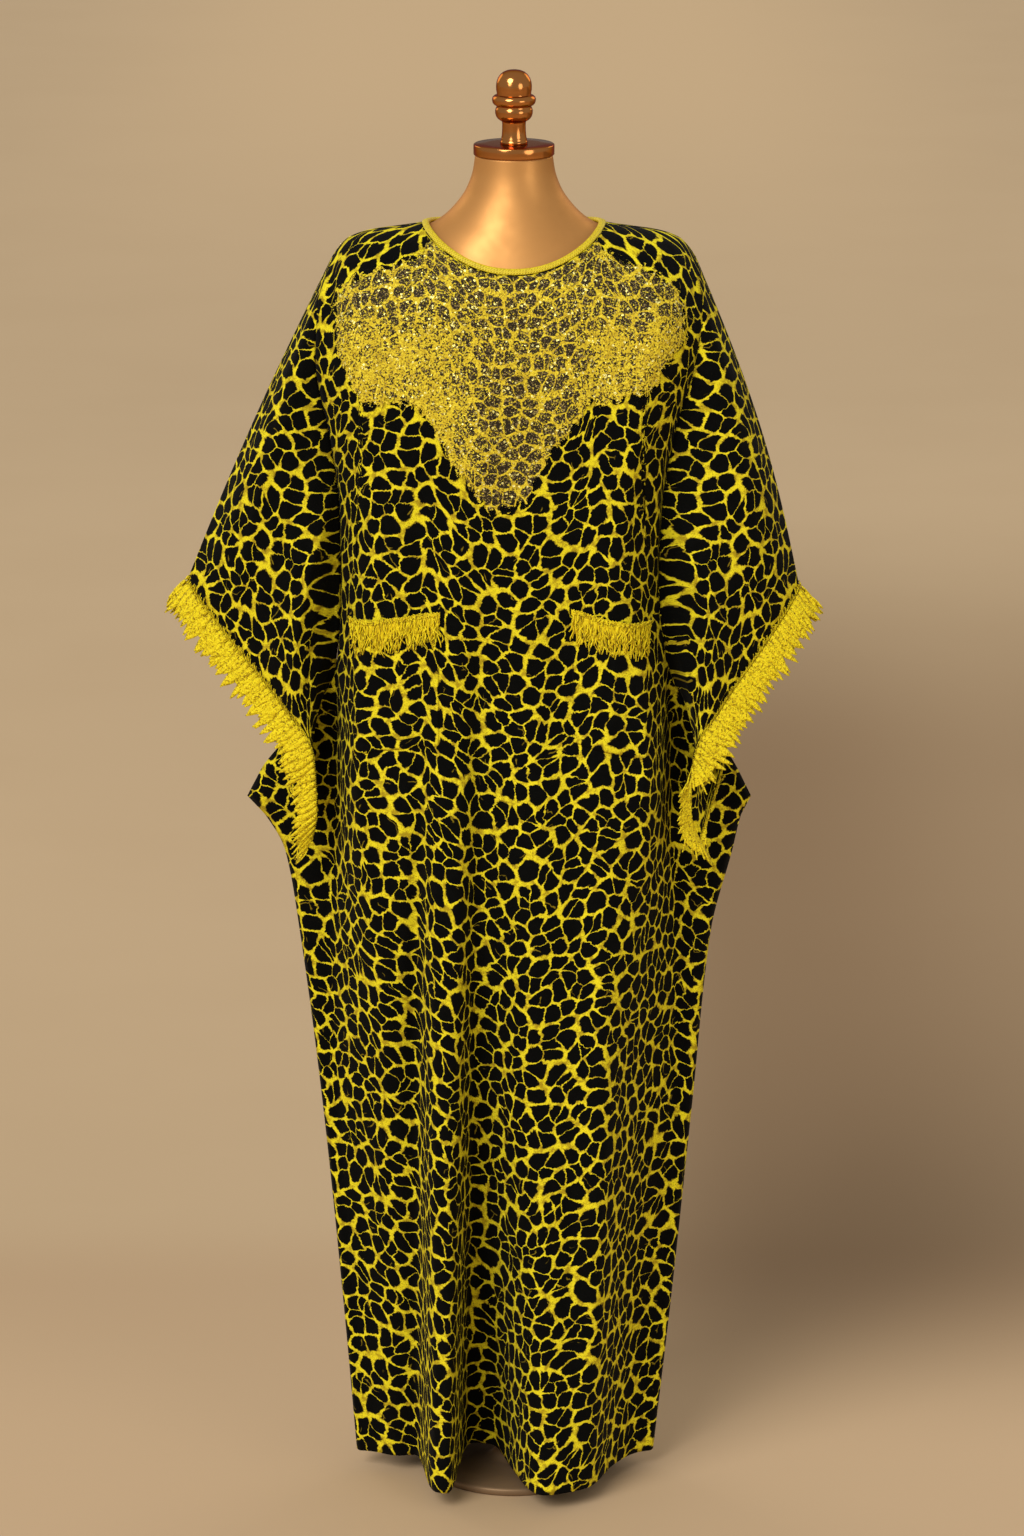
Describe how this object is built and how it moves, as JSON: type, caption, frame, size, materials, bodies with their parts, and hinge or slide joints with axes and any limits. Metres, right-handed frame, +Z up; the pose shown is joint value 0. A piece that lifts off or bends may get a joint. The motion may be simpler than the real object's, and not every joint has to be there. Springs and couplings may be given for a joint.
{
  "type": "grand boubou robe on a dress form",
  "caption": "Loose full-length robe with wide open sleeves, glitter lace yoke, lace cuffs and fringed patch pockets, on a limbless dress form with a neck cap, pole and round foot.",
  "frame": {"origin": "centre of the foot's flat underside, on the surface the form stands on", "axes": "+Z up the pole to the finial, -Y the front of the robe, +X towards the wearer's left sleeve"},
  "size_m": [0.719, 0.2876, 1.6606],
  "materials": {
    "printed_cloth": "soft satin polyester, black cells in a yellow net",
    "glitter_yoke": "glitter lace, gold and brown specks",
    "yellow_lace": "matt yellow thread",
    "binding": "matt yellow band with rows of stitches",
    "form_skin": "satin gold paint",
    "copper_cap": "glossy copper brown lacquer",
    "stand_steel": "dark bronze paint"
  },
  "bodies": {
    "root": {"front_panel": "printed_cloth", "back_panel": "printed_cloth", "sleeve_left": "printed_cloth", "sleeve_right": "printed_cloth", "pocket_left": "printed_cloth", "pocket_right": "printed_cloth", "yoke_lace": "glitter_yoke", "cuff_lace_left": "yellow_lace", "cuff_lace_right": "yellow_lace", "pocket_fringe_left": "yellow_lace", "pocket_fringe_right": "yellow_lace", "neck_binding": "binding", "form_torso": "form_skin", "neck_cap": "copper_cap", "finial": "copper_cap", "pole": "stand_steel", "base": "stand_steel"}
  },
  "joints": []
}
